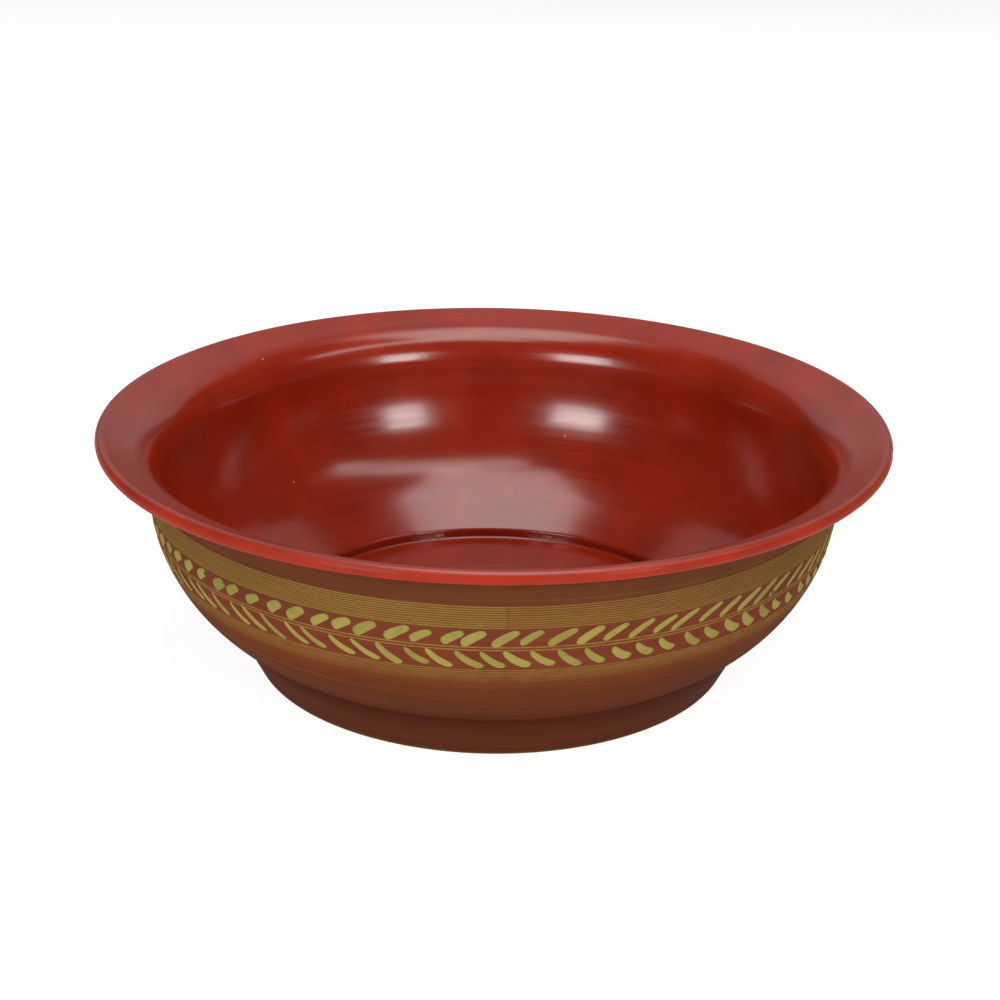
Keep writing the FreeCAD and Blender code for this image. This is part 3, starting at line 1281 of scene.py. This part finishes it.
def leaf_strokes_tree(material: bpy.types.Material) -> bpy.types.NodeTree:
    """Tree for a row of short leaning brush strokes that change a little round the bowl.

    Args:
        material: The paint.

    Returns:
        The tree.
    """
    tree, given = new_tree("leaf_strokes", {
        **WALL_INPUTS,
        "Count": 90,
        "First turn": 0.0,
        "Station": -9 * MM,
        "Length": 11 * MM,
        "Length gain": 0.0,
        "Width": 3.3 * MM,
        "Width gain": 0.0,
        "Lean": 0.5,
        "Bow": 0.5 * MM,
        "Taper": 0.0,
        "Thickness": 0.3 * MM,
        "Unevenness": 0.12,
        "Seed": 1,
    })
    size = given.outputs
    index = add(tree, "GeometryNodeInputIndex")
    seeds = [add(tree, MATH, size["Seed"], float(shift), operation="ADD") for shift in range(6)]
    chance = [add(tree, RANDOM_VALUE, -1.0, 1.0, index, seed) for seed in seeds]
    pitch = add(tree, MATH, FULL_TURN, size["Count"], operation="DIVIDE")
    place = add(tree, MATH, chance[0], size["Unevenness"], index, operation="MULTIPLY_ADD")
    turn = add(tree, MATH, place, pitch, size["First turn"], operation="MULTIPLY_ADD")
    side = add(tree, MATH, turn, operation="SINE")
    spread = [add(tree, MATH, value, size["Unevenness"], 1.0, operation="MULTIPLY_ADD")
              for value in chance[1:4]]
    plain = [add(tree, MATH, side, size[f"{label} gain"], size[label], operation="MULTIPLY_ADD")
             for label in ("Length", "Width")]
    length, width = (add(tree, MATH, value, varied, operation="MULTIPLY")
                     for value, varied in zip(plain, spread))
    lean = add(tree, MATH, size["Lean"], spread[2], operation="MULTIPLY")
    highest_rise = 3 * MM
    rise = add(tree, MATH, chance[4], size["Unevenness"], operation="MULTIPLY")
    rise = add(tree, MATH, rise, highest_rise, operation="MULTIPLY")
    points: Value = add(tree, "GeometryNodeMeshLine", size["Count"], None, (0.0, 0.0, 0.0))
    stored = {"turn": turn, "length": length, "width": width, "lean": lean, "rise": rise, "chance": chance[5]}
    for label, value in stored.items():
        points = add(tree, STORE_ATTRIBUTE, points, None, label, value)
    segments, rings = 14, 6
    dab = add(tree, "GeometryNodeMeshUVSphere", segments, rings, 1.0)
    strokes = add(tree, "GeometryNodeRealizeInstances",
                  add(tree, "GeometryNodeInstanceOnPoints", points, None, dab))

    own = {label: add(tree, NAMED_ATTRIBUTE, label) for label in stored}
    x, y, z = add(tree, SEPARATE, add(tree, "GeometryNodeInputPosition")).outputs
    # A round dab is squared off so that the stroke ends are blunt, then bowed and tapered.
    squares = [add(tree, MATH, value, 2.0, operation="POWER") for value in (x, y)]
    fourths = [add(tree, MATH, value, value, operation="MULTIPLY") for value in squares]
    circle, squared = (add(tree, MATH, add(tree, MATH, *powers, operation="ADD"), root, operation="POWER")
                       for powers, root in ((squares, 1 / 2), (fourths, 1 / 4)))
    above_zero = 1e-4
    squared = add(tree, MATH, squared, above_zero, operation="MAXIMUM")
    blunt = add(tree, MATH, circle, squared, operation="DIVIDE")
    ahead, aside = (add(tree, MATH, value, blunt, operation="MULTIPLY") for value in (x, y))
    narrowing = add(tree, MATH, ahead, size["Taper"], 1.0, operation="MULTIPLY_ADD")
    halves = [add(tree, MATH, own[label], 0.5, operation="MULTIPLY") for label in ("length", "width")]
    forward, sideways = (add(tree, MATH, value, half, operation="MULTIPLY")
                         for value, half in zip((ahead, aside), halves))
    sideways = add(tree, MATH, sideways, narrowing, operation="MULTIPLY")
    bow_middle = 0.4
    bowed = add(tree, MATH, ahead, ahead, operation="MULTIPLY")
    bowed = add(tree, MATH, bowed, bow_middle, operation="SUBTRACT")
    sideways = add(tree, MATH, bowed, size["Bow"], sideways, operation="MULTIPLY_ADD")
    cosine, sine = (add(tree, MATH, own["lean"], operation=name) for name in ("COSINE", "SINE"))
    right = add(tree, MATH, add(tree, MATH, forward, cosine, operation="MULTIPLY"),
                add(tree, MATH, sideways, sine, operation="MULTIPLY"), operation="SUBTRACT")
    up = add(tree, MATH, add(tree, MATH, forward, sine, operation="MULTIPLY"),
             add(tree, MATH, sideways, cosine, operation="MULTIPLY"), operation="ADD")
    round_turn = add(tree, MATH, add(tree, MATH, right, size["Belly radius"], operation="DIVIDE"),
                     own["turn"], operation="ADD")
    level = add(tree, MATH, size["Station"], own["rise"], operation="ADD")
    station = add(tree, MATH, level, up, operation="ADD")
    lift = add(tree, MATH, z, size["Thickness"], operation="MULTIPLY")
    load = add(tree, MAP_RANGE, own["chance"], -1.0, 1.0, 0.45, 1.0)
    strokes = add(tree, STORE_ATTRIBUTE, strokes, None, "load", load)
    bent = add(tree, "GeometryNodeSetPosition", strokes, None,
               onto_wall(tree, given, round_turn, station, lift))
    close_tree(tree, bent, material)
    return tree


@dataclass(frozen=True)
class Drawing:
    """A drawing laid on the wall by a tree whose inputs are called as its own fields are."""

    name: str
    count: int

    def values(self) -> dict[str, float | int]:
        """What the tree's inputs get."""
        own = [field.name for field in fields(self) if field.name != "name"]
        return {label.replace("_", " ").capitalize(): getattr(self, label) for label in own}


@dataclass(frozen=True)
class PaintedLines(Drawing):
    """A set of level ochre lines."""

    top_station: float
    pitch: float = 1.03 * MM
    half_width: float = 0.3 * MM
    half_height: float = 0.16 * MM
    start_turn: float = math.radians(2.5)
    gap: float = 0.0003
    start_load: float = 0.85
    end_load: float = 1.2
    last_line: float = 1.0
    waver: float = 0.3 * MM
    segments: int = 360
    seed: float = 0.0


@dataclass(frozen=True)
class LeafRow(Drawing):
    """A row of leaf strokes on one side of the midrib."""

    station: float
    lean: float
    bow: float
    first_turn: float
    length: float
    length_gain: float
    width: float
    width_gain: float
    taper: float
    thickness: float = 0.28 * MM
    unevenness: float = 0.13
    seed: int = 1


@dataclass
class PaintedBand:
    """The painted band: fine lines, a leaf row, the midrib's two lines, a leaf row, fine lines."""

    wall: WallForm
    line_thick: str = "#7e602e"
    line_thin: str = "#633c1e"
    leaf_thick: str = "#877b3d"
    leaf_thin: str = "#6b5e2c"

    def line_sets(self) -> tuple[PaintedLines, ...]:
        """The sets of lines, from the top down."""
        return (
            PaintedLines("upper_lines", 10, 3.7 * MM, pitch=0.93 * MM, half_width=0.27 * MM, seed=1.0),
            PaintedLines("midrib_lines", 2, -13.2 * MM, pitch=1.3 * MM, half_width=0.36 * MM,
                         start_load=1.0, end_load=1.0, seed=2.0),
            PaintedLines("lower_lines", 7, -24.4 * MM, pitch=1.0 * MM, half_width=0.26 * MM,
                         start_load=0.9, end_load=0.9, last_line=0.45, seed=3.0),
        )

    def leaf_rows(self) -> tuple[LeafRow, ...]:
        """The two rows of strokes."""
        return (
            LeafRow("upper_leaves", 90, -9.0 * MM, math.radians(30), -0.5 * MM, math.radians(2.1),
                    11.3 * MM, 4.2 * MM, 3.5 * MM, -1.4 * MM, -0.16, seed=11),
            LeafRow("lower_leaves", 93, -19.2 * MM, math.radians(-38), 1.0 * MM, math.radians(0.3),
                    12.0 * MM, -2.6 * MM, 3.2 * MM, 0.9 * MM, 0.2, seed=31),
        )

    def build(self) -> None:
        """Paint every line set and leaf row and attach them."""
        wall_values = {
            "Belly radius": self.wall.belly_radius,
            "Belly curve": self.wall.belly_curve,
            "Belly top": self.wall.belly_top,
        }
        line_paint = OchrePaint("ochre_line_paint", self.line_thick, self.line_thin)
        lines = painted_lines_tree(line_paint.material())
        for line_set in self.line_sets():
            attach(baked(line_set.name, lines, {**wall_values, **line_set.values()}), Slot.PAINTED)
        leaf_paint = OchrePaint("ochre_leaf_paint", self.leaf_thick, self.leaf_thin, smudges=self.smudges())
        leaves = leaf_strokes_tree(leaf_paint.material())
        for row in self.leaf_rows():
            attach(baked(row.name, leaves, {**wall_values, **row.values()}), Slot.PAINTED)

    def smudges(self) -> tuple[Spot, ...]:
        """Dark marks on a few of the upper strokes."""
        marked = ((-48.9, 74.6, 1.5), (-44.0, 75.0, 1.7), (48.0, 71.0, 1.4))
        return tuple(Spot(turn, *self.wall.outside_at(height * MM), size * MM)
                     for turn, height, size in marked)


# ---------------------------------------------------------------- the bowl
@dataclass
class Strips:
    """The bent bamboo strips, which stay as the frame has them."""

    prefixes: tuple[str, ...] = ("wall_hoop", "rim_hoop", "foot_hoop", "floor_button", "floor_hoop")

    def dress(self) -> None:
        """Give every strip the bamboo finish."""
        bamboo = SPLIT_BAMBOO.material()
        strips = [node for name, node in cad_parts.items() if name.startswith(self.prefixes)]
        for node in strips:
            node.data.materials.clear()
            node.data.materials.append(bamboo)
        LOG.info("strips: %d nodes dressed as split bamboo", len(strips))


@dataclass
class Bowl:
    """The whole bowl: strips, skins, floor and painted band."""

    wall: WallForm
    foot: FootForm

    def build(self) -> None:
        """Build every piece in the order that a maker would."""
        Strips().dress()
        skins = SkinSet(self.wall, self.foot)
        red = RedLacquer(chips=self.well_chips(), flecks=self.flecks()).material()
        dark = UNDERSIDE_LACQUER.material()
        inner = skins.inner()
        inner.dents = self.dents()
        self.wear_lip(inner.build(red))
        skins.outer().build(PaintedLacquer(smudges=self.smudges()).material())
        skins.foot_outside().build(FootLacquer().material())
        skins.bore().build(dark)
        bite = 0.15 * MM
        floor = self.wall.floor_top
        DiscSkin("floor_skin", "floor_lacquer", Slot.RED, floor, floor - self.wall.skin,
                 self.wall.well_radius + bite).build(red)
        under = self.foot.under_floor
        DiscSkin("base_skin", "base_lacquer", Slot.DARK, under, under + self.wall.skin,
                 self.foot.bore(under).x + bite).build(dark)
        PaintedBand(self.wall).build()

    def wear_lip(self, skin: bpy.types.Object) -> None:
        """Dull the lacquer on the outer half of the lip, where hands rub it.

        Args:
            skin: The inside skin, which goes over the lip.
        """
        dulled = replace(RedLacquer.surface, roughness=0.4, specular=0.1, coat=0.05)
        skin.data.materials.append(RedLacquer("red_lacquer_hand_rubbed", surface=dulled).material())
        crown = self.wall.rim_radius - 1.2 * self.wall.lip_radius
        rubbed_below = 0.55
        for face in skin.data.polygons:
            outer_half = math.hypot(face.center.x, face.center.y) > crown
            face.material_index = int(outer_half and face.normal.z < rubbed_below)

    def well_chips(self) -> tuple[Spot, ...]:
        """Pale chips in the side of the well's step, on the far side, each longer than high."""
        height = self.wall.floor_top + 2.4 * MM
        radius = self.wall.well_radius + 0.1 * MM
        turns = ((195.4, 1.1), (196.4, 1.2), (197.4, 0.9), (163.0, 1.0), (164.0, 1.1), (165.0, 0.8))
        return tuple(Spot(turn, radius, height, size * MM) for turn, size in turns)

    def flecks(self) -> tuple[Spot, ...]:
        """Orange nibs in the far wall, where an undercoat shows."""
        marked = ((164.9, 136.2, 51.9, 0.9), (228.7, 150.4, 100.6, 0.8), (228.9, 130.2, 42.2, 0.9))
        return tuple(Spot(turn, radius * MM, height * MM, size * MM) for turn, radius, height, size in marked)

    def dents(self) -> tuple[Dent, ...]:
        """Small chips in the lip and the edge of the well."""
        lip = Spot(78.0, self.wall.rim_radius - 0.5 * MM, self.wall.bowl_height - 2.7 * MM, 3.0 * MM)
        return (Dent(lip, 0.35 * MM), *(Dent(spot, 0.3 * MM) for spot in self.well_chips()))

    def smudges(self) -> tuple[Spot, ...]:
        """Brown marks on the brim's underside."""
        return tuple(Spot(turn, 164 * MM, 101 * MM, 3.0 * MM) for turn in (-38.0, -35.0))


# ---------------------------------------------------------------- studio
@dataclass(frozen=True)
class SoftBox:
    """A soft studio light that points at the bowl.

    Azimuth is measured from the front towards +X, elevation from the horizon, and roll is how far
    the box's right end is turned up, all in degrees.
    """

    name: str
    azimuth: float
    elevation: float
    distance: float
    width: float
    height: float
    power: float
    roll: float = 0.0

    def build(self, target: Vector) -> None:
        """Hang the light.

        Args:
            target: The point that it faces.
        """
        turn, rise = math.radians(self.azimuth), math.radians(self.elevation)
        away = Vector((math.sin(turn) * math.cos(rise), -math.cos(turn) * math.cos(rise), math.sin(rise)))
        data = bpy.data.lights.new(self.name, "AREA")
        data.shape = "RECTANGLE"
        data.size, data.size_y = self.width, self.height
        data.energy = self.power
        lamp = bpy.data.objects.new(self.name, data)
        lamp.location = target + away * self.distance
        facing = (-away).to_track_quat("-Z", "Y") @ Quaternion((0.0, 0.0, 1.0), math.radians(self.roll))
        lamp.rotation_euler = facing.to_euler()
        lamp.visible_camera = False
        bpy.context.scene.collection.objects.link(lamp)


@dataclass
class Studio:
    """Floor, lights, sky and camera."""

    camera_distance: float = 0.760
    camera_height: float = 0.3714
    camera_side: float = 2.9 * MM
    camera_pitch: float = 21.73
    camera_roll: float = 0.91
    lens: float = 66.74
    floor_size: float = 16.0
    sky: float = 0.05
    soft_boxes: tuple[SoftBox, ...] = (
        SoftBox("left_box", -33.5, 13.5, 1.6, 0.56, 0.76, 17.0),
        SoftBox("right_box", 36.5, 13.5, 1.6, 0.42, 0.76, 12.5),
        SoftBox("front_box", 46.5, 63.0, 1.6, 1.8, 0.24, 6.0, roll=-29.0),
        SoftBox("top_box", 0.0, 88.0, 1.9, 1.2, 1.2, 20.0),
        SoftBox("back_card", 180.0, 35.0, 2.0, 3.0, 1.6, 8.0),
    )

    def build(self, centre: Vector) -> None:
        """Set up the studio.

        Args:
            centre: The point that the lights face.
        """
        self.build_floor()
        self.build_sky()
        self.build_camera()
        for box in self.soft_boxes:
            box.build(centre)
        bpy.context.scene.view_settings.view_transform = "Standard"

    def build_floor(self) -> None:
        """Lay the pale floor that the bowl stands on."""
        half = self.floor_size / 2
        mesh = bpy.data.meshes.new("studio_floor")
        mesh.from_pydata([(-half, -half, 0), (half, -half, 0), (half, half, 0), (-half, half, 0)], [],
                         [(0, 1, 2, 3)])
        mesh.materials.append(PaleFloor().material())
        floor = bpy.data.objects.new("studio_floor", mesh)
        bpy.context.scene.collection.objects.link(floor)

    def build_sky(self) -> None:
        """Surround the scene with soft grey light, seen as white behind the floor."""
        world = bpy.data.worlds.new("studio_sky")
        world.use_nodes = True
        tree = world.node_tree
        tree.nodes.clear()
        seen = add(tree, "ShaderNodeLightPath").outputs["Is Camera Ray"]
        strength = add(tree, MIX, seen, self.sky, 1.0, data_type="FLOAT")
        light = add(tree, "ShaderNodeBackground", WHITE, strength)
        add(tree, "ShaderNodeOutputWorld", light)
        bpy.context.scene.world = world

    def build_camera(self) -> None:
        """Place the camera in front of the bowl, looking a little down."""
        data = bpy.data.cameras.new("camera")
        data.lens = self.lens
        camera = bpy.data.objects.new("camera", data)
        place = Matrix.Translation((self.camera_side, -self.camera_distance, self.camera_height))
        tilt = Matrix.Rotation(math.radians(90 - self.camera_pitch), 4, "X")
        roll = Matrix.Rotation(math.radians(self.camera_roll), 4, "Z")
        camera.matrix_world = place @ tilt @ roll
        bpy.context.scene.collection.objects.link(camera)
        bpy.context.scene.camera = camera


def main() -> None:
    """Build the bowl and its studio."""
    logging.basicConfig(level=logging.INFO, format="%(name)s %(message)s")
    wall = WallForm.from_frame()
    Bowl(wall, FootForm.from_frame(wall)).build()
    low, high = CAD_BOX
    Studio().build((low + high) / 2)


if __name__ == "__main__":
    main()
